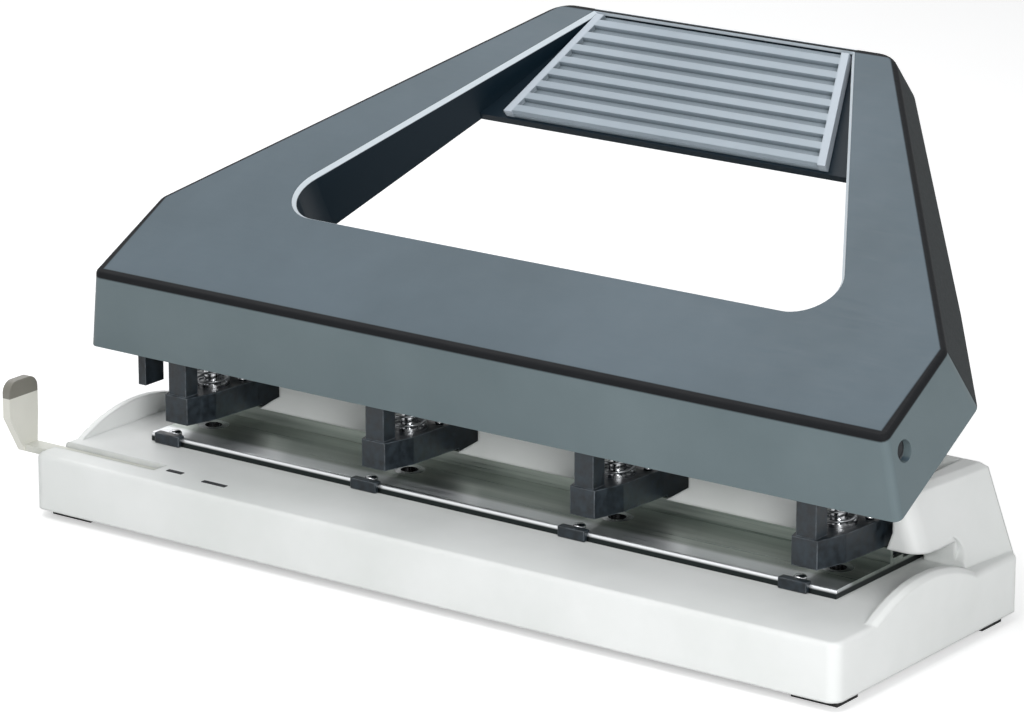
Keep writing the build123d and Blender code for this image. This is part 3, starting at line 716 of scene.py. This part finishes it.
# ------------------------------------------------------------------ pieces of the handle
CUP_CLEARANCE = 0.0003
CUP_RADIUS = 0.0030
CUP_DEPTH = 0.0012
CUP_FLOOR = 0.0007
CUP_PROFILE = (
    (0.0, 0.0026), (0.0004, CUP_RADIUS), (CUP_DEPTH, CUP_RADIUS),
    (CUP_DEPTH, 0.0023), (CUP_FLOOR, 0.0018), (CUP_FLOOR, 0.0004))


def pivot_caps(material):
    """Dark cups that close the handle's side holes, just clear of the ends of the rod."""
    low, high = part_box("pivot_rod")
    ends = {"left": low.x, "right": high.x}
    for side, sign in SIDES.items():
        centre = Vector((ends[side] + sign * CUP_CLEARANCE, PIVOT.y, PIVOT.z))
        cup = add_piece(
            f"pivot_cap_{side}",
            lambda work: lathe(work, centre, RIGHT * sign, BACK, CUP_PROFILE),
            material, smooth=True)
        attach(cup, "handle")


# ------------------------------------------------------------------ stage, light and camera
WHITE = (1.0, 1.0, 1.0, 1.0)
PAPER_DARK = (0.90, 0.90, 0.90, 1.0)
PAPER_LIGHT = (0.92, 0.92, 0.92, 1.0)
PAPER_GLOW = 0.42
FLOOR_HALF = 4.0
SKY_TINT = (0.97, 0.99, 1.0, 1.0)
SKY_STRENGTH = 0.24


def seen_rays(tree):
    """1 for the rays that show the studio as it is, 0 for those that light the object."""
    path = tree.nodes.new("ShaderNodeLightPath")
    total = path.outputs["Is Camera Ray"]
    for kind in ("Is Glossy Ray", "Is Transmission Ray"):
        both = tree.nodes.new("ShaderNodeMath")
        both.operation = "MAXIMUM"
        tree.links.new(total, both.inputs[0])
        tree.links.new(path.outputs[kind], both.inputs[1])
        total = both.outputs["Value"]
    return total


def studio_paper():
    """Pale paper sweep that still takes the object's shadow."""
    m = Maker("studio_paper", roughness=0.9, Specular_IOR_Level=0.1)
    m.color(m.mix(m.remap(m.noise(scale=3.0), 0.0, 1.0), PAPER_DARK, PAPER_LIGHT))
    glow = m.math("MULTIPLY", seen_rays(m.tree), PAPER_GLOW)
    m.shader.inputs["Emission Color"].default_value = WHITE
    m.link(glow, m.shader.inputs["Emission Strength"])
    return m.material


def studio_floor():
    half = FLOOR_HALF
    corners = [(-half, -half, 0), (half, -half, 0), (half, half, 0), (-half, half, 0)]
    mesh = bpy.data.meshes.new("studio_floor")
    mesh.from_pydata(corners, [], [(0, 1, 2, 3)])
    mesh.materials.append(studio_paper())
    floor = bpy.data.objects.new("studio_floor", mesh)
    bpy.context.scene.collection.objects.link(floor)


def studio_world():
    """Soft daylight on the object, and plain white behind it and in its reflections."""
    world = bpy.data.worlds.new("studio_world")
    bpy.context.scene.world = world
    world.use_nodes = True
    tree = world.node_tree
    soft = tree.nodes["Background"]
    soft.inputs["Color"].default_value = SKY_TINT
    soft.inputs["Strength"].default_value = SKY_STRENGTH
    white = tree.nodes.new("ShaderNodeBackground")
    white.inputs["Color"].default_value = WHITE
    blend = tree.nodes.new("ShaderNodeMixShader")
    tree.links.new(seen_rays(tree), blend.inputs[0])
    tree.links.new(soft.outputs[0], blend.inputs[1])
    tree.links.new(white.outputs[0], blend.inputs[2])
    tree.links.new(blend.outputs[0], tree.nodes["World Output"].inputs["Surface"])


def softbox(name, place, target, size, power):
    light = bpy.data.lights.new(name, "AREA")
    light.shape = "RECTANGLE"
    light.size, light.size_y = size
    light.energy = power
    lamp = bpy.data.objects.new(name, light)
    lamp.location = place
    lamp.rotation_euler = (Vector(target) - Vector(place)).to_track_quat("-Z", "Y").to_euler()
    bpy.context.scene.collection.objects.link(lamp)


def lights():
    """A key from the photo's right, a fill above, a sheen over the top and one for the back."""
    middle = (0.0, 0.0, 0.05)
    softbox("key_right", place=(0.80, -0.75, 0.42), target=middle, size=(0.36, 0.28), power=6.9)
    softbox("fill_front", place=(0.0, -0.50, 1.05), target=middle, size=(0.6, 0.6), power=4.4)
    softbox(
        "sheen_above", place=(-0.32, 0.22, 0.80), target=(0.0, 0.0, 0.08), size=(0.22, 0.50), power=1.4)
    softbox(
        "back_left", place=(-1.00, 0.50, 0.70), target=(0.0, 0.05, 0.05), size=(0.6, 0.4), power=2.6)


CAMERA_PLACE = Vector((0.8605, -1.17255, 0.5004))
CAMERA_SIGHT = Vector((-0.5670, 0.7727, -0.2855))
SENSOR_WIDTH_MM = 36.0
LENS_MM = 173.16
CLIP_START = 0.01


def camera():
    """Stands where the photograph was taken from."""
    data = bpy.data.cameras.new("photo_camera")
    data.sensor_width = SENSOR_WIDTH_MM
    data.lens = LENS_MM
    data.clip_start = CLIP_START
    made = bpy.data.objects.new("photo_camera", data)
    made.location = CAMERA_PLACE
    made.rotation_euler = CAMERA_SIGHT.to_track_quat("-Z", "Y").to_euler()
    bpy.context.scene.collection.objects.link(made)
    bpy.context.scene.camera = made


bpy.context.scene.view_settings.view_transform = "Standard"
studio_floor()
studio_world()
lights()
camera()
materials = dress_nodes()
springs(materials["zinc"])
nose_tabs(materials["casting"], materials["bright"])
format_marks(materials["dark"])
arm_screws(materials["bright"])
pivot_caps(materials["dark"])
